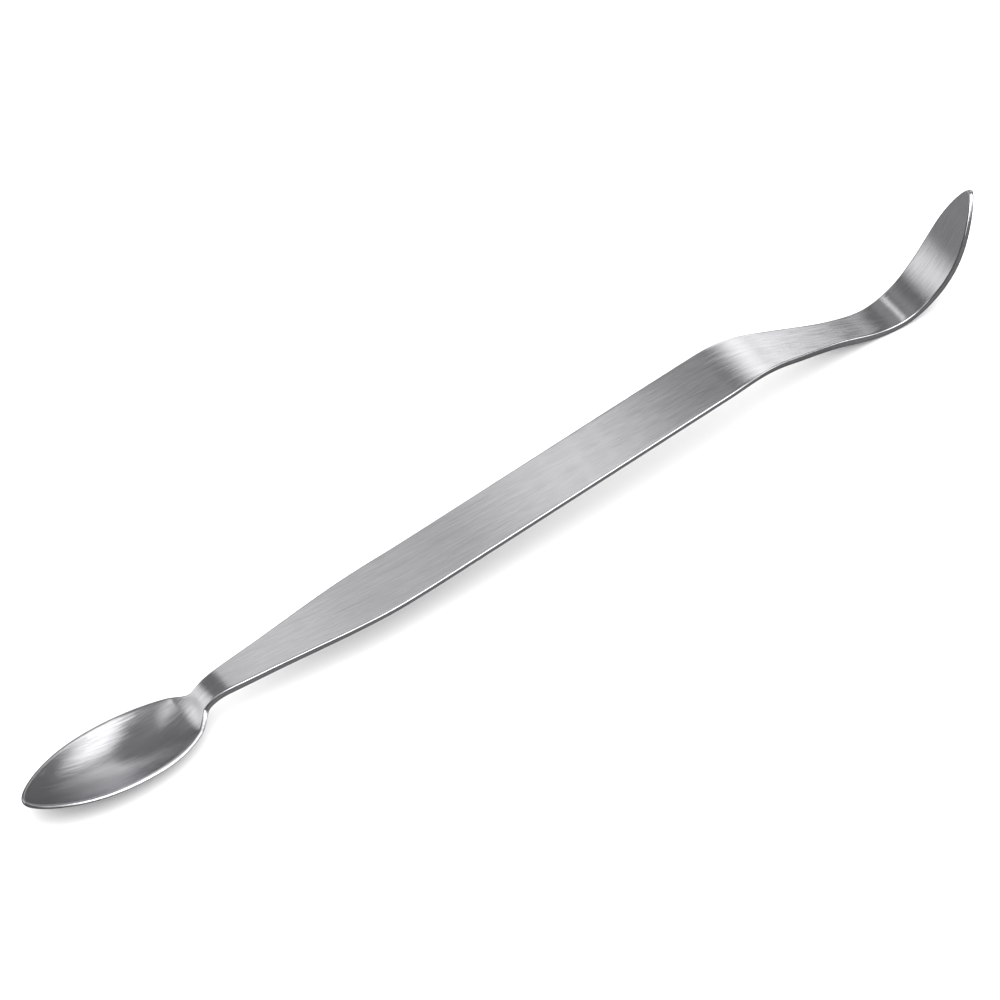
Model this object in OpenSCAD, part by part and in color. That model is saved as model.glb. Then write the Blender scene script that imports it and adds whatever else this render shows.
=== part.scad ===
// Lab spatula formed from one strip of stainless steel: a pointed bowl at one end, a short
// cranked neck, a flat handle, and a leaf-shaped blade curled upwards at the other end.
// It stands on the underside of the bowl and on the heel of the blade.
// Millimetres. +X runs from the bowl to the blade, +Y across the strip, +Z up.
//
// A station is a distance along the strip, counted from the bowl's tip before forming.

/* [Strip] */
// Width of the handle
handle_w = 10; // [8:0.5:12]
// Thickness of the strip along the handle
strip_t = 1.2; // [1:0.1:1.6]
// Extra thickness of the strip where it is narrow, as its share of the missing width
narrow_gain = 0.6; // [0:0.1:0.8]
// Radius of the rounded edges, all the way round
edge_r = 0.25; // [0.1:0.05:0.25]
// Length of the straight, flat stretch of the handle
grip_len = 50; // [30:1:90]

/* [Bowl] */
// Widest measure across the bowl's rim
bowl_w = 12.5; // [10:0.5:15]
// Depth of the bowl's floor under its rim
bowl_depth = 3.2; // [2:0.1:4]
// Thickness of the bowl's wall
bowl_t = 0.75; // [0.7:0.05:1]
// How pointed the bowl is, from 0 for an ellipse
bowl_point = 0.3; // [0:0.05:0.4]
// Downward slope of the rim from the bowl's tip, in degrees
rim_slope = 6.5; // [4:0.5:8]

/* [Neck] */
// Narrowest width of the neck
neck_w = 4; // [3:0.5:5]
// Gentle rise of the rim from the middle of the bowl to its root, in degrees
rim_lift = 15; // [10:1:20]
// Steep rise of the strip from the bowl's root into the neck, in degrees
neck_rise = 33; // [28:1:38]
// Fall of the strip from the neck back to the handle, in degrees
neck_fall = 44; // [36:1:50]

/* [Blade] */
// Width of the waist before the blade
waist_w = 5; // [4:0.5:6]
// Widest measure across the leaf-shaped blade
blade_w = 7.5; // [7:0.5:9]
// Thickness at the blade's tip
blade_t = 1; // [0.7:0.1:1.2]
// How pointed the blade is, from 0 for an ellipse
blade_point = 0.35; // [0:0.05:0.4]
// Bend at the handle's end, down towards the waist, in degrees
shoulder_fall = 27; // [20:1:32]
// Upward curl of the blade from the waist to its tip, in degrees
blade_curl = 87; // [60:1:95]

/* [Hidden] */

steel = [0.74, 0.75, 0.76];

// Stations of the bowl and the neck
bowl_widest = 19;
bowl_deepest = 18;
bowl_shoulder = 30.5;
neck_narrowest = 34;
neck_flare = 44;
bowl_end = 34.5;

// Stations of the handle
taper_end = 72;
grip_start = 84;
grip_end = grip_start + grip_len;
shoulder = grip_end + 1;

// Stations of the blade
blade_taper = shoulder + 15;
waist = shoulder + 27;
blade_root = shoulder + 34;
blade_flare = shoulder + 39;
blade_widest = shoulder + 48;
strip_len = shoulder + 63;

// Bends of the strip as [station where it starts, its length, its upward turn in degrees]
BENDS = [
    [0, 23, 2],
    [20, 16, rim_lift],
    [30, 4, neck_rise],
    [33, 7, -neck_fall],
    [63, 20, 4],
    [shoulder, 14, -shoulder_fall],
    [shoulder + 29, 15, blade_curl / 2],
    [shoulder + 35, 20, blade_curl / 2],
];

// Outline between the bowl's and the blade's widest stations, as [station, width]
OUTLINE = [
    [bowl_widest, bowl_w],
    [bowl_shoulder, 0.7 * bowl_w],
    [neck_narrowest, neck_w],
    [neck_flare, neck_w + 1.5],
    [taper_end, handle_w],
    [shoulder, handle_w],
    [blade_taper, 0.7 * handle_w],
    [waist, waist_w],
    [blade_root, waist_w + 0.5],
    [blade_flare, blade_w - 1],
    [blade_widest, blade_w],
];

// ---- the side profile: where the middle of the strip's upper face runs

path_step = 0.25;
path_count = ceil(strip_len / path_step) + 4;

function ease(t) = let (u = min(1, max(0, t))) u * u * (3 - 2 * u);
function total(list) = list * [for (value = list) 1];
function bent(s) = total([for (b = BENDS) b[2] * ease((s - b[0]) / b[1])]);
function heading(angle) = [cos(angle), 0, sin(angle)];
function trace(start_slope) = [
    for (
        i = 0, p = [0, 0, 0];
        i <= path_count;
        p = p + path_step * heading(start_slope + bent((i + 0.5) * path_step)), i = i + 1
    ) p
];
function path_table(points, axis) = [for (i = [0:len(points) - 1]) [i * path_step, points[i][axis]]];

// ---- the outline, the thickness and the bowl's floor

function pointed(w, u, point) = w * sqrt(max(0, 1 - u * u)) * (1 - point * u * u * u);

// Change of the width per millimetre along a stretch of the outline, and at an outline station:
// none where the strip is widest, narrowest or straight, and elsewhere the mean of both stretches
function taper(i) = (OUTLINE[i + 1][1] - OUTLINE[i][1]) / (OUTLINE[i + 1][0] - OUTLINE[i][0]);
function lean(i) =
    i == 0 || i == len(OUTLINE) - 1 || taper(i - 1) * taper(i) <= 0 ? 0 : (taper(i - 1) + taper(i)) / 2;

// A smooth curve between outline stations i and i + 1
function between(i, s) =
    let (a = OUTLINE[i], b = OUTLINE[i + 1], span = b[0] - a[0], t = (s - a[0]) / span)
    (1 - ease(t)) * a[1] + ease(t) * b[1] + span * t * (1 - t) * ((1 - t) * lean(i) - t * lean(i + 1));

function width(s) =
    s <= bowl_widest ? pointed(bowl_w, 1 - s / bowl_widest, bowl_point)
    : s >= blade_widest ? pointed(blade_w, (s - blade_widest) / (strip_len - blade_widest), blade_point)
    : between(max([for (k = [0:len(OUTLINE) - 2]) if (s >= OUTLINE[k][0]) k]), s);

function thickness(s) =
    let (plain = strip_t + narrow_gain * max(0, 1 - width(s) / handle_w))
    plain - (plain - bowl_t) * ease((bowl_end + 4 - s) / 12)
        - (plain - blade_t) * ease((s - blade_widest) / (strip_len - blade_widest));

function floor_drop(s) =
    s < bowl_deepest ? bowl_depth * (1 - pow(1 - s / bowl_deepest, 2))
    : bowl_depth * pow(1 - pow(min(1, (s - bowl_deepest) / (bowl_end - bowl_deepest)), 2), 1.5);

// ---- standing: the slope at the bowl's tip that sets the bowl's underside and the blade's heel
// level with each other

function underside(points, s) =
    let (i = round(s / path_step))
    points[i] - (floor_drop(s) + thickness(s)) * heading(-rim_slope + bent(s) + 90);
function lowest(list) = let (z = [for (p = list) p[2]]) list[search(min(z), z)[0]];

rough_path = trace(-rim_slope);
bowl_foot = lowest([for (s = [10:path_step:bowl_end - 6]) underside(rough_path, s)]);
heel_foot = lowest([for (s = [ceil(waist):path_step:floor(blade_widest)]) underside(rough_path, s)]);
standing_slope = -rim_slope - atan2(heel_foot[2] - bowl_foot[2], heel_foot[0] - bowl_foot[0]);

PATH = trace(standing_slope);
PATH_X = path_table(PATH, 0);
PATH_Z = path_table(PATH, 2);

function path_point(s) = [lookup(s, PATH_X), 0, lookup(s, PATH_Z)];
function along(s) = heading(standing_slope + bent(s));
function upward(s) = heading(standing_slope + bent(s) + 90);

// ---- forming: a point of the flat strip, [station, distance from the middle line], and its
// depth under the upper face give a point of the formed strip

probe = 0.01;

function inside(s) = min(strip_len - 2 * probe, max(2 * probe, s));
function dish(s, y) = floor_drop(s) * (1 - pow(2 * y / width(s), 2));
function unit(v) = v / norm(v);

function face_normal(q) =
    let (s = inside(q[0]), y = q[1])
    let (fall_along = (dish(s + probe, y) - dish(s - probe, y)) / (2 * probe))
    let (fall_across = (dish(s, y + probe) - dish(s, y - probe)) / (2 * probe))
    unit(upward(s) + fall_along * along(s) + [0, fall_across, 0]);

function formed(q, depth) =
    path_point(q[0]) + [0, q[1], 0] - dish(inside(q[0]), q[1]) * upward(q[0]) - depth * face_normal(q);

// ---- the surface: rings of points round the rounded edge at every station, and cross-lines
// of points over both faces of the bowl. Elsewhere the faces are straight across.

across = 14;
edge_turn = [0, 30, 60, 90];
ring_rows = 2 * len(edge_turn);

function spread(a, b, count) = [for (i = [0:count - 1]) a + (b - a) * i / count];
function from_tip(reach, count) = [for (i = [0:count - 1]) reach * pow(i / count, 2)];
function backwards(list) = [for (i = [len(list) - 1:-1:0]) list[i]];

bowl_stations = concat(from_tip(4, 8), spread(4, bowl_shoulder, 24), spread(bowl_shoulder, bowl_end, 6));
plain_stations = concat(
    spread(bowl_end, neck_flare, 14), spread(neck_flare, grip_start, 16), [grip_start, grip_end],
    spread(shoulder, blade_taper, 18), spread(blade_taper, waist, 8), spread(waist, strip_len - 4, 34),
    backwards([for (s = from_tip(4, 8)) strip_len - s])
);
STATIONS = concat(bowl_stations, plain_stations);
last = len(STATIONS) - 1;

// Outline point and outward direction at a station, on side -1 or 1, in the flat strip
function outline_point(s, side) = [s, side * width(s) / 2];
function outward(i, side) =
    i == 0 ? [-1, 0]
    : i == last ? [1, 0]
    : let (s = inside(STATIONS[i]))
        unit([(width(s - probe) - width(s + probe)) / (4 * probe), side]);

function edge_point(point, direction, row) =
    let (top = row < len(edge_turn), angle = edge_turn[top ? row : ring_rows - 1 - row])
    let (q = point - edge_r * (1 - sin(angle)) * direction)
    let (depth = edge_r * (1 - cos(angle)))
    formed(q, top ? depth : thickness(q[0]) - depth);

function ring(i, side) =
    [for (row = [0:ring_rows - 1]) edge_point(outline_point(STATIONS[i], side), outward(i, side), row)];

function cross_line(i, under) =
    let (start = outline_point(STATIONS[i], -1) - edge_r * outward(i, -1))
    let (finish = outline_point(STATIONS[i], 1) - edge_r * outward(i, 1))
    [
        for (m = [1:across - 1])
            let (q = start + (finish - start) * m / across)
            formed(q, under ? thickness(q[0]) : 0)
    ];

// The rings run from the bowl's tip along the +Y side to the blade's tip, and back on the other
rings = concat([for (i = [0:last]) ring(i, 1)], [for (i = [last - 1:-1:1]) ring(i, -1)]);
bowl_lines = len(bowl_stations) - 1;
upper_lines = [for (i = [1:bowl_lines]) each cross_line(i, false)];
lower_lines = [for (i = [1:bowl_lines]) each cross_line(i, true)];
SURFACE = concat([for (r = rings) each r], upper_lines, lower_lines);

// The middle of the piece's length is over the origin, and it stands at height 0
placing = [
    -(min([for (p = SURFACE) p[0]]) + max([for (p = SURFACE) p[0]])) / 2,
    0,
    -min([for (p = SURFACE) p[2]])
];

// Numbers of the points on a station's cross-line, from the -Y side to the +Y side
function ring_number(k, row) = (k % len(rings)) * ring_rows + row;
function line_numbers(i, row, first) =
    i == 0 || i == last ? [ring_number(i, row)]
    : concat(
        [ring_number(2 * last - i, row)],
        i > bowl_lines ? [] : [for (m = [0:across - 2]) first + (i - 1) * (across - 1) + m],
        [ring_number(i, row)]
    );

// Triangles between two neighbouring cross-lines, of which one may have fewer points
function stitch(a, b) =
    len(a) == len(b) ? [
        for (m = [0:len(a) - 2])
            each m < len(a) / 2 - 1
                ? [[a[m], a[m + 1], b[m]], [a[m + 1], b[m + 1], b[m]]]
                : [[a[m], a[m + 1], b[m + 1]], [a[m], b[m + 1], b[m]]]
    ]
    : len(a) < len(b) ? concat(
        [for (m = [0:len(b) - 2]) [a[0], b[m + 1], b[m]]],
        len(a) == 2 ? [[a[0], a[1], b[len(b) - 1]]] : []
    )
    : concat(
        [for (m = [0:len(a) - 2]) [b[0], a[m], a[m + 1]]],
        len(b) == 2 ? [[b[0], a[len(a) - 1], b[1]]] : []
    );

function face_triangles(row, first) =
    [for (i = [0:last - 1]) each stitch(line_numbers(i, row, first), line_numbers(i + 1, row, first))];

module spatula() {
    upper = face_triangles(0, len(rings) * ring_rows);
    lower = face_triangles(ring_rows - 1, len(rings) * ring_rows + len(upper_lines));
    edge = [
        for (k = [0:len(rings) - 1], row = [0:ring_rows - 2])
            let (a = ring_number(k, row), b = ring_number(k + 1, row))
            each [[a, a + 1, b + 1], [a, b + 1, b]]
    ];
    color(steel)
        polyhedron(
            points = [for (p = SURFACE) p + placing],
            faces = concat(upper, [for (t = lower) backwards(t)], edge)
        );
}

spatula();
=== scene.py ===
"""Lab spatula of brushed stainless steel on a pale floor.

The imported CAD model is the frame. The steel piece built here follows the same named values and
formulas as the CAD source, with many more points, rounded edges and a brushed finish, and stands
for the CAD node. A station is a distance along the strip in millimetres from the bowl's tip.
"""

import math

import bpy
import numpy as np
from mathutils import Matrix, Vector


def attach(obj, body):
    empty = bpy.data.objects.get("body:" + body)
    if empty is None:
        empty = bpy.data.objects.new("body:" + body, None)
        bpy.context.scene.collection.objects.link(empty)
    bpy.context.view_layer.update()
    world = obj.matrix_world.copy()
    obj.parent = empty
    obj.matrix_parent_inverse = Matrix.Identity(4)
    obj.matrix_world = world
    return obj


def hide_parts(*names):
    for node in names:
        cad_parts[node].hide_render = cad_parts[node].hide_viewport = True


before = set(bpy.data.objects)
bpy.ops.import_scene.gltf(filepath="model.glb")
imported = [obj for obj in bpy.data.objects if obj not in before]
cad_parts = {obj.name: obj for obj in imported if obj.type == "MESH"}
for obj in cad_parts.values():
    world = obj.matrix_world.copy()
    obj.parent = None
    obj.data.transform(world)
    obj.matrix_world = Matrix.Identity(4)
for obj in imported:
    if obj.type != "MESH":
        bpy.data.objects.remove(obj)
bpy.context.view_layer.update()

MM = 0.001

# ---------------------------------------------------------------------------------------------
# The strip, in millimetres and degrees, with the CAD source's names
# ---------------------------------------------------------------------------------------------

handle_w = 10.0
strip_t = 1.2
narrow_gain = 0.6
edge_r = 0.25
grip_len = 50.0

bowl_w = 12.5
bowl_depth = 3.2
bowl_t = 0.75
bowl_point = 0.3
rim_slope = 6.5

neck_w = 4.0
rim_lift = 15.0
neck_rise = 33.0
neck_fall = 44.0

waist_w = 5.0
blade_w = 7.5
blade_t = 1.0
blade_point = 0.35
shoulder_fall = 27.0
blade_curl = 87.0

bowl_widest = 19.0
bowl_deepest = 18.0
bowl_shoulder = 30.5
neck_narrowest = 34.0
neck_flare = 44.0
bowl_end = 34.5

taper_end = 72.0
grip_start = 84.0
grip_end = grip_start + grip_len
shoulder = grip_end + 1.0

blade_taper = shoulder + 15.0
waist = shoulder + 27.0
blade_root = shoulder + 34.0
blade_flare = shoulder + 39.0
blade_widest = shoulder + 48.0
strip_len = shoulder + 63.0

# Bends as (station where it starts, its length, its upward turn)
BENDS = (
    (0.0, 23.0, 2.0),
    (20.0, 16.0, rim_lift),
    (30.0, 4.0, neck_rise),
    (33.0, 7.0, -neck_fall),
    (63.0, 20.0, 4.0),
    (shoulder, 14.0, -shoulder_fall),
    (shoulder + 29.0, 15.0, blade_curl / 2),
    (shoulder + 35.0, 20.0, blade_curl / 2),
)

# Outline between the widest stations as (station, width)
OUTLINE = (
    (bowl_widest, bowl_w),
    (bowl_shoulder, 0.7 * bowl_w),
    (neck_narrowest, neck_w),
    (neck_flare, neck_w + 1.5),
    (taper_end, handle_w),
    (shoulder, handle_w),
    (blade_taper, 0.7 * handle_w),
    (waist, waist_w),
    (blade_root, waist_w + 0.5),
    (blade_flare, blade_w - 1.0),
    (blade_widest, blade_w),
)

# The stretch that holds the lowest point of the bowl's underside, and how far past the bowl's end
# the strip starts to thin and over what length it does
bowl_foot_start = 10.0
bowl_foot_end = bowl_end - 6.0
thinned_past_bowl = 4.0
thinning_len = 12.0

# Spacing of the points that the strip's middle line is traced through, how many are traced past its
# end, and half the distance over which a slope is measured
path_step = 0.25
spare_steps = 4
probe = 0.01


def ease(t):
    u = min(1.0, max(0.0, t))
    return u * u * (3 - 2 * u)


def bent(s):
    return sum(turn * ease((s - start) / length) for start, length, turn in BENDS)


def heading(angle):
    turn = math.radians(angle)
    return np.array([math.cos(turn), 0.0, math.sin(turn)])


def pointed(w, u, point):
    return w * math.sqrt(max(0.0, 1 - u * u)) * (1 - point * u**3)


def taper(i):
    """Change of the width per millimetre along a stretch of the outline."""
    return (OUTLINE[i + 1][1] - OUTLINE[i][1]) / (OUTLINE[i + 1][0] - OUTLINE[i][0])


def lean(i):
    """The same at an outline station: none where the strip is widest, narrowest or straight."""
    if i in (0, len(OUTLINE) - 1) or taper(i - 1) * taper(i) <= 0:
        return 0.0
    return (taper(i - 1) + taper(i)) / 2


def between(i, s):
    """A smooth curve between outline stations i and i + 1."""
    a, b = OUTLINE[i], OUTLINE[i + 1]
    span = b[0] - a[0]
    t = (s - a[0]) / span
    curve = (1 - t) * lean(i) - t * lean(i + 1)
    return (1 - ease(t)) * a[1] + ease(t) * b[1] + span * t * (1 - t) * curve


def width(s):
    if s <= bowl_widest:
        return pointed(bowl_w, 1 - s / bowl_widest, bowl_point)
    if s >= blade_widest:
        return pointed(blade_w, (s - blade_widest) / (strip_len - blade_widest), blade_point)
    return between(max(k for k in range(len(OUTLINE) - 1) if s >= OUTLINE[k][0]), s)


def thickness(s):
    """The strip is thicker where it is narrower, and thinned to the bowl and to the blade's tip."""
    plain = strip_t + narrow_gain * max(0.0, 1 - width(s) / handle_w)
    return (
        plain
        - (plain - bowl_t) * ease((bowl_end + thinned_past_bowl - s) / thinning_len)
        - (plain - blade_t) * ease((s - blade_widest) / (strip_len - blade_widest))
    )


def floor_drop(s):
    """Depth of the bowl's middle line under its rim."""
    if s < bowl_deepest:
        return bowl_depth * (1 - (1 - s / bowl_deepest) ** 2)
    return bowl_depth * (1 - min(1.0, (s - bowl_deepest) / (bowl_end - bowl_deepest)) ** 2) ** 1.5


def trace(start_slope):
    """Points of the middle of the upper face, a path_step apart."""
    count = math.ceil(strip_len / path_step) + spare_steps
    steps = [path_step * heading(start_slope + bent((i + 0.5) * path_step)) for i in range(count + 1)]
    return np.vstack([np.zeros(3), np.cumsum(steps, axis=0)])


def underside_foot(path, first, final):
    """Lowest point of the middle of the underside between two stations."""
    feet = []
    for i in range(round(first / path_step), round(final / path_step) + 1):
        s = i * path_step
        feet.append(path[i] - (floor_drop(s) + thickness(s)) * heading(-rim_slope + bent(s) + 90))
    return min(feet, key=lambda foot: foot[2])


rough_path = trace(-rim_slope)
bowl_foot = underside_foot(rough_path, bowl_foot_start, bowl_foot_end)
heel_foot = underside_foot(rough_path, math.ceil(waist), math.floor(blade_widest))
standing_slope = -rim_slope - math.degrees(
    math.atan2(heel_foot[2] - bowl_foot[2], heel_foot[0] - bowl_foot[0])
)
PATH = trace(standing_slope)
PATH_STATIONS = np.arange(len(PATH)) * path_step


def path_point(s):
    return np.array([np.interp(s, PATH_STATIONS, PATH[:, 0]), 0.0, np.interp(s, PATH_STATIONS, PATH[:, 2])])


def inside(s):
    return min(strip_len - 2 * probe, max(2 * probe, s))


def dish(s, y):
    return floor_drop(s) * (1 - (2 * y / width(s)) ** 2)


def unit(v):
    return v / np.linalg.norm(v)


def face_normal(s, y):
    s = inside(s)
    fall_along = (dish(s + probe, y) - dish(s - probe, y)) / (2 * probe)
    fall_across = (dish(s, y + probe) - dish(s, y - probe)) / (2 * probe)
    turn = standing_slope + bent(s)
    return unit(heading(turn + 90) + fall_along * heading(turn) + np.array([0.0, fall_across, 0.0]))


def formed(s, y, depth):
    """The formed strip's point for a point of the flat strip, depth under the upper face."""
    level = path_point(s) + np.array([0.0, y, 0.0])
    up = heading(standing_slope + bent(s) + 90)
    return level - dish(inside(s), y) * up - depth * face_normal(s, y)


# ---------------------------------------------------------------------------------------------
# The steel piece: a closed loop of rounded-edge rings, and cross-lines over both faces
# ---------------------------------------------------------------------------------------------

# Faces across the strip, how far the close-set rings at both tips reach and how many they are, and
# the turns round a quarter of the rounded edge
across = 22
tip_reach = 4.0
tip_rings = 16
edge_turns = [math.radians(a) for a in (0, 15, 30, 45, 60, 75, 90)]
crown_rows = len(edge_turns)
ring_rows = 2 * crown_rows


def spread(a, b, count):
    return [a + (b - a) * i / count for i in range(count)]


def from_tip(reach, count):
    return [reach * (i / count) ** 2 for i in range(count)]


# Stretches between the tips as (start, end, number of rings), closest where the strip bends most
STRETCHES = (
    (tip_reach, bowl_shoulder, 76),
    (bowl_shoulder, neck_flare, 52),
    (neck_flare, grip_start, 50),
    (grip_start, shoulder, 40),
    (shoulder, waist, 64),
    (waist, strip_len - tip_reach, 104),
)

STATIONS = (
    from_tip(tip_reach, tip_rings)
    + [s for start, end, count in STRETCHES for s in spread(start, end, count)]
    + [strip_len - s for s in reversed(from_tip(tip_reach, tip_rings))]
)
last = len(STATIONS) - 1


def outward(i, side):
    """The outline's outward direction in the flat strip."""
    if i in (0, last):
        return np.array([-1.0 if i == 0 else 1.0, 0.0])
    s = inside(STATIONS[i])
    return unit(np.array([(width(s - probe) - width(s + probe)) / (4 * probe), side]))


def edge_point(i, side, row):
    top = row < crown_rows
    angle = edge_turns[row if top else ring_rows - 1 - row]
    flat = np.array([STATIONS[i], side * width(STATIONS[i]) / 2])
    s, y = flat - edge_r * (1 - math.sin(angle)) * outward(i, side)
    depth = edge_r * (1 - math.cos(angle))
    return formed(s, y, depth if top else thickness(s) - depth)


def cross_line(i, under):
    ends = [
        np.array([STATIONS[i], side * width(STATIONS[i]) / 2]) - edge_r * outward(i, side)
        for side in (-1, 1)
    ]
    line = []
    for m in range(1, across):
        s, y = ends[0] + (ends[1] - ends[0]) * m / across
        line.append(formed(s, y, thickness(s) if under else 0.0))
    return line


def build_spatula():
    ring_order = [(i, 1) for i in range(last + 1)] + [(i, -1) for i in range(last - 1, 0, -1)]
    points = [edge_point(i, side, row) for i, side in ring_order for row in range(ring_rows)]
    ring_count = len(ring_order)

    def ring_number(k, row):
        return (k % ring_count) * ring_rows + row

    faces = []
    for k in range(ring_count):
        for row in range(ring_rows - 1):
            faces.append(
                (
                    ring_number(k, row),
                    ring_number(k + 1, row),
                    ring_number(k + 1, row + 1),
                    ring_number(k, row + 1),
                )
            )
    for under, row in ((False, 0), (True, ring_rows - 1)):
        lines = [[ring_number(0, row)]]
        for i in range(1, last):
            first = len(points)
            points.extend(cross_line(i, under))
            middle = list(range(first, first + across - 1))
            lines.append([ring_number(2 * last - i, row)] + middle + [ring_number(i, row)])
        lines.append([ring_number(last, row)])
        for a, b in zip(lines, lines[1:]):
            if len(a) == 1:
                quads = [(a[0], b[m + 1], b[m]) for m in range(across)]
            elif len(b) == 1:
                quads = [(b[0], a[m], a[m + 1]) for m in range(across)]
            else:
                quads = [(a[m], a[m + 1], b[m + 1], b[m]) for m in range(across)]
            faces.extend(q if under else tuple(reversed(q)) for q in quads)

    points = np.array(points)
    low, high = points.min(0), points.max(0)
    placing = np.array([-(low[0] + high[0]) / 2, 0.0, -low[2]])
    mesh = bpy.data.meshes.new("steel_spatula")
    mesh.from_pydata([tuple(p) for p in (points + placing) * MM], [], faces)
    mesh.validate()
    mesh.shade_smooth()
    piece = bpy.data.objects.new("steel_spatula", mesh)
    bpy.context.scene.collection.objects.link(piece)
    return piece


spatula = build_spatula()
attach(spatula, "root")
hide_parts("spatula")


# ---------------------------------------------------------------------------------------------
# Materials
# ---------------------------------------------------------------------------------------------


class Value:
    """A socket or number in a material, on which Python's arithmetic adds Math nodes."""

    def __init__(self, maker, socket):
        self.maker, self.socket = maker, socket

    def _math(self, operation, *inputs):
        return self.maker.node("ShaderNodeMath", {"operation": operation}, dict(enumerate(inputs)))

    def __add__(self, other):
        return self._math("ADD", self, other)

    def __sub__(self, other):
        return self._math("SUBTRACT", self, other)

    def __rsub__(self, other):
        return self._math("SUBTRACT", other, self)

    def __mul__(self, other):
        return self._math("MULTIPLY", self, other)

    def __truediv__(self, other):
        return self._math("DIVIDE", self, other)

    def __pow__(self, other):
        return self._math("POWER", self, other)

    __radd__ = __add__
    __rmul__ = __mul__


class Maker:
    """Adds nodes to one node tree."""

    def __init__(self, tree):
        self.tree = tree
        tree.nodes.clear()

    def node(self, kind, settings=None, inputs=None, output=0):
        """A node of a kind, its settings first and then its sockets' values or links."""
        made = self.tree.nodes.new(kind)
        for name, value in (settings or {}).items():
            setattr(made, name, value)
        for name, value in (inputs or {}).items():
            if isinstance(value, Value):
                self.tree.links.new(value.socket, made.inputs[name])
            else:
                made.inputs[name].default_value = value
        return Value(self, made.outputs[output]) if made.outputs else None


# The rubbing's angle off the strip's line, how ragged it is, how far its grooves and streaks tilt
# the surface, and how the steel's roughness and shade follow its streaks and bands
rub_slant = 4.5
rub_raggedness = 0.6
groove_tilt = 1.0
streak_tilt = 0.03
steel_roughness = 0.17
streak_roughness = 0.06
band_shade = 0.3
dark_steel = (0.6, 0.6, 0.62, 1)
light_steel = (0.8, 0.8, 0.82, 1)


def brushed_steel():
    """Steel rubbed along the strip: fine grooves tilt the surface to either side of the strip, so
    that reflections smear across it and stay narrow along it."""
    material = bpy.data.materials.new("brushed_steel")
    material.use_nodes = True
    make = Maker(material.node_tree)
    place = make.node("ShaderNodeTexCoord", output="Object")

    def grooves(per_mm, length_mm):
        """Noise drawn out along the strip, with its rubbing a few degrees off the strip's line."""
        stretched = make.node(
            "ShaderNodeMapping",
            {"vector_type": "TEXTURE"},
            {
                "Vector": place,
                "Rotation": (0.0, 0.0, math.radians(-rub_slant)),
                "Scale": (length_mm * MM, MM / per_mm, length_mm * MM),
            },
        )
        return make.node(
            "ShaderNodeTexNoise",
            inputs={"Vector": stretched, "Scale": 1.0, "Detail": 1.0, "Roughness": rub_raggedness},
        )

    fine = grooves(per_mm=70.0, length_mm=5.0) - 0.5
    streaks = grooves(per_mm=9.0, length_mm=5.0) - 0.5
    bands = grooves(per_mm=0.6, length_mm=30.0) - 0.5

    tilt = fine * groove_tilt + streaks * streak_tilt
    sideways = make.node("ShaderNodeCombineXYZ", inputs={"Y": tilt})
    straight = make.node("ShaderNodeNewGeometry", output="Normal")
    leaning = make.node("ShaderNodeVectorMath", {"operation": "ADD"}, {0: straight, 1: sideways})
    normal = make.node("ShaderNodeVectorMath", {"operation": "NORMALIZE"}, {0: leaning})

    shade = streaks + bands * band_shade + 0.5
    colour = make.node(
        "ShaderNodeMix",
        {"data_type": "RGBA"},
        {"Factor": shade, "A": dark_steel, "B": light_steel},
        output=2,
    )
    shader = make.node(
        "ShaderNodeBsdfPrincipled",
        inputs={
            "Base Color": colour,
            "Metallic": 1.0,
            "Roughness": streaks * streak_roughness + steel_roughness,
            "Normal": normal,
        },
    )
    make.node("ShaderNodeOutputMaterial", inputs={"Surface": shader})
    return material


spatula.data.materials.append(brushed_steel())


# ---------------------------------------------------------------------------------------------
# Floor, light and camera
# ---------------------------------------------------------------------------------------------


# How far the floor reaches to each side in metres, and its shade
floor_reach = 4.0
floor_grey = 0.8


def floor_plane():
    """A matt floor that the steel doesn't mirror."""
    a = floor_reach
    mesh = bpy.data.meshes.new("floor")
    mesh.from_pydata([(-a, -a, 0), (a, -a, 0), (a, a, 0), (-a, a, 0)], [], [(0, 1, 2, 3)])
    floor = bpy.data.objects.new("floor", mesh)
    bpy.context.scene.collection.objects.link(floor)
    material = bpy.data.materials.new("pale_floor")
    material.use_nodes = True
    make = Maker(material.node_tree)
    surface = make.node("ShaderNodeBsdfDiffuse", inputs={"Color": (floor_grey, floor_grey, floor_grey, 1)})
    make.node("ShaderNodeOutputMaterial", inputs={"Surface": surface})
    mesh.materials.append(material)
    floor.visible_glossy = False


floor_plane()


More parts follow.
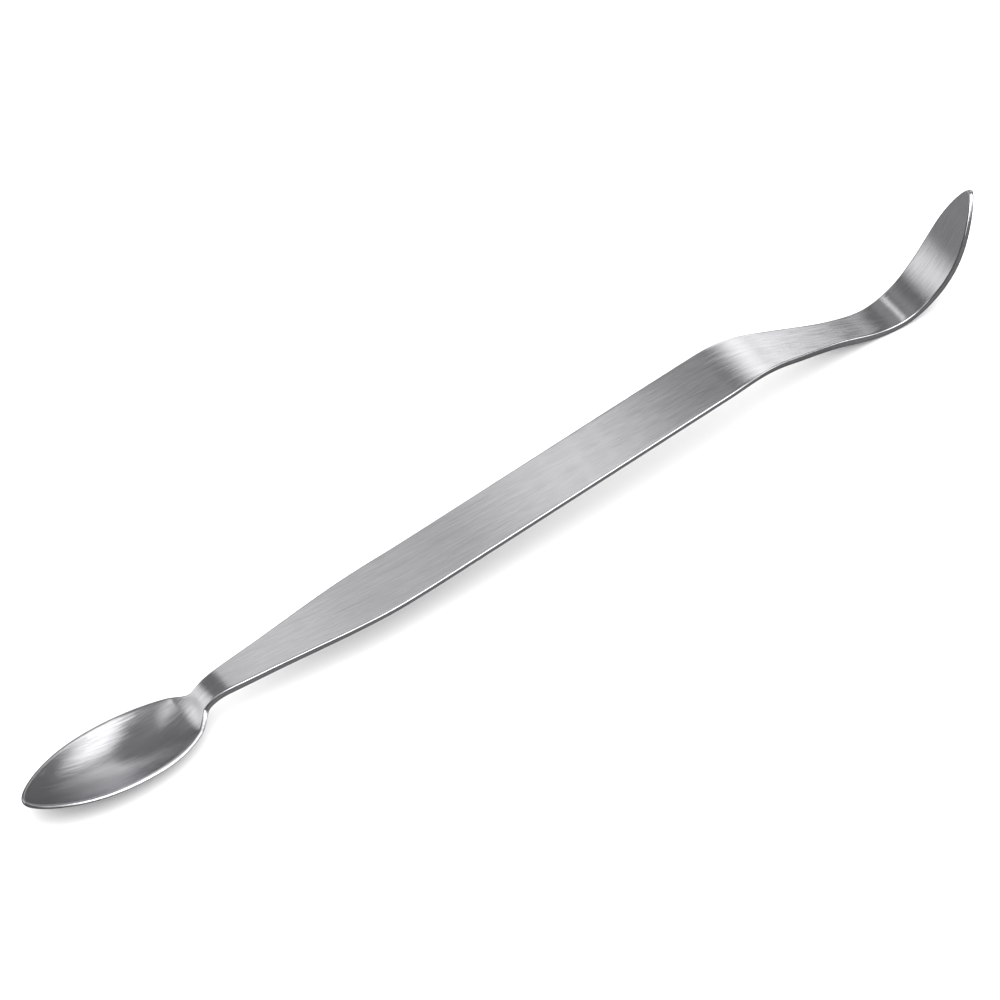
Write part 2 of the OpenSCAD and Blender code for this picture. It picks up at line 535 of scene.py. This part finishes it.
# Softboxes round the object, which the steel mirrors. Each is (name, place along X that it is aimed
# at in millimetres, turn about the strip's cross direction from +X up over to -X and lean to +Y in
# degrees, distance, width and height in metres, strength, and how strongly louvres across its width
# keep the light to the way it faces, from 0 for none)
SOFTBOXES = (
    ("grip_softbox", 8, 70, 30, 0.12, 0.045, 0.2, 0.7, 10),
    ("taper_softbox", -46, 64, 30, 0.12, 0.045, 0.2, 0.7, 10),
    ("shoulder_softbox", 49, 44, 30, 0.035, 0.038, 0.12, 1.2, 16),
    ("waist_softbox", 51, 18, 30, 0.06, 0.026, 0.12, 1.1, 60),
    ("bowl_softbox", -78, 52, -30, 0.3, 0.18, 0.26, 1.6, 16),
    ("bowl_side_softbox", -82, 40, 60, 0.3, 0.2, 0.2, 0.3, 0),
    ("root_softbox", -66, 110, -8, 0.27, 0.12, 0.15, 1.2, 0),
    ("heel_softbox", 75, 84, 30, 0.3, 0.06, 0.3, 1.0, 120),
    ("blade_softbox", 84, 159, 28, 0.4, 0.32, 0.4, 0.95, 0),
    ("tip_softbox", 90, 194, 28, 0.4, 0.25, 0.4, 0.18, 0),
    ("front_softbox", 0, 40, -70, 0.5, 0.7, 0.3, 5.0, 0),
    ("waist_edge_softbox", 60, 0, -45, 0.4, 0.3, 0.2, 3.0, 10),
    ("fill_softbox", 0, 115, -45, 0.6, 0.5, 0.4, 0.6, 0),
    ("low_front_softbox", 0, -60, -35, 0.4, 0.8, 0.3, 0.1, 0),
)

# Strength of the room that the steel mirrors and of the sky over the floor, and the height in metres
# that the softboxes are aimed at
room_glow = 0.11
floor_light = 3.5
aim_height = 0.008


def studio():
    """A white sky for the floor, brightest overhead, and a dim room for the steel to mirror."""
    world = bpy.data.worlds.new("studio")
    world.use_nodes = True
    bpy.context.scene.world = world
    make = Maker(world.node_tree)
    towards = make.node("ShaderNodeTexCoord", output="Generated")
    height = make.node("ShaderNodeSeparateXYZ", inputs={"Vector": towards}, output=2)
    overhead = make.node("ShaderNodeMath", {"operation": "MAXIMUM"}, {0: height, 1: 0.0}) * floor_light
    mirrored = make.node("ShaderNodeLightPath", output="Is Glossy Ray")
    strength = mirrored * room_glow + (1 - mirrored) * overhead
    sky = make.node("ShaderNodeBackground", inputs={"Color": (1, 1, 1, 1), "Strength": strength})
    make.node("ShaderNodeOutputWorld", inputs={"Surface": sky})


def softbox(name, aim_mm, turn, lean_to_y, distance, width_m, height_m, strength, louvres):
    """A glowing panel that faces the place it is aimed at, brightest in its middle."""
    turn, lean_to_y = math.radians(turn), math.radians(lean_to_y)
    towards = Vector(
        (math.cos(lean_to_y) * math.cos(turn), math.sin(lean_to_y), math.cos(lean_to_y) * math.sin(turn))
    )
    a, b = width_m / 2, height_m / 2
    mesh = bpy.data.meshes.new(name)
    mesh.from_pydata([(-a, -b, 0), (a, -b, 0), (a, b, 0), (-a, b, 0)], [], [(0, 1, 2, 3)])
    panel = bpy.data.objects.new(name, mesh)
    bpy.context.scene.collection.objects.link(panel)
    along = Vector((math.sin(turn), 0.0, -math.cos(turn)))
    place = Vector((aim_mm * MM, 0.0, aim_height)) + distance * towards
    turned = Matrix((along, towards.cross(along), towards)).transposed().to_4x4()
    panel.matrix_world = Matrix.Translation(place) @ turned
    material = bpy.data.materials.new(name)
    material.use_nodes = True
    make = Maker(material.node_tree)
    on_panel = make.node("ShaderNodeTexCoord", output="Object")
    u, v = (make.node("ShaderNodeSeparateXYZ", inputs={"Vector": on_panel}, output=k) for k in range(2))
    seen_from = make.node(
        "ShaderNodeVectorTransform",
        {"vector_type": "VECTOR", "convert_from": "WORLD", "convert_to": "OBJECT"},
        {"Vector": make.node("ShaderNodeNewGeometry", output="Incoming")},
    )
    sideways, ahead = (
        make.node("ShaderNodeSeparateXYZ", inputs={"Vector": seen_from}, output=k) for k in (0, 2)
    )
    passed = (1 + (sideways / ahead) ** 2) ** (-louvres / 2)
    # Light that the floor has scattered doesn't come back through the steel
    bounces = make.node("ShaderNodeLightPath", output="Diffuse Depth")
    direct = 1 - make.node("ShaderNodeMath", {"operation": "MINIMUM"}, {0: bounces, 1: 1.0})
    glow = (1 - (u / a) ** 2) * (1 - (v / b) ** 2) * passed * strength * direct
    light = make.node("ShaderNodeEmission", inputs={"Color": (1, 1, 1, 1), "Strength": glow})
    clear = make.node("ShaderNodeBsdfTransparent")
    both = make.node("ShaderNodeAddShader", inputs={0: light, 1: clear})
    make.node("ShaderNodeOutputMaterial", inputs={"Surface": both})
    mesh.materials.append(material)
    for ray in ("camera", "diffuse", "transmission", "volume_scatter", "shadow"):
        setattr(panel, "visible_" + ray, False)


studio()
for box in SOFTBOXES:
    softbox(*box)


# The side and height that the camera looks from in degrees, its distance and target in metres, and
# its sensor's width and long lens in millimetres
view_azimuth = -37.0
view_elevation = 51.0
view_distance = 3.01
view_target = Vector((-0.0005, 0.0, 0.0113))
sensor_mm = 36.0
lens_mm = 691.2
farthest_seen = 20.0


def place_camera():
    azimuth, elevation = math.radians(view_azimuth), math.radians(view_elevation)
    back = Vector(
        (
            math.sin(azimuth) * math.cos(elevation),
            -math.cos(azimuth) * math.cos(elevation),
            math.sin(elevation),
        )
    )
    level = Vector((math.cos(azimuth), math.sin(azimuth), 0.0))
    turn = Matrix((level, back.cross(level), back)).transposed().to_4x4()
    data = bpy.data.cameras.new("camera")
    data.sensor_width = sensor_mm
    data.lens = lens_mm
    data.clip_end = farthest_seen
    camera = bpy.data.objects.new("camera", data)
    bpy.context.scene.collection.objects.link(camera)
    camera.matrix_world = Matrix.Translation(view_target + view_distance * back) @ turn
    bpy.context.scene.camera = camera


place_camera()
bpy.context.scene.view_settings.view_transform = "Standard"
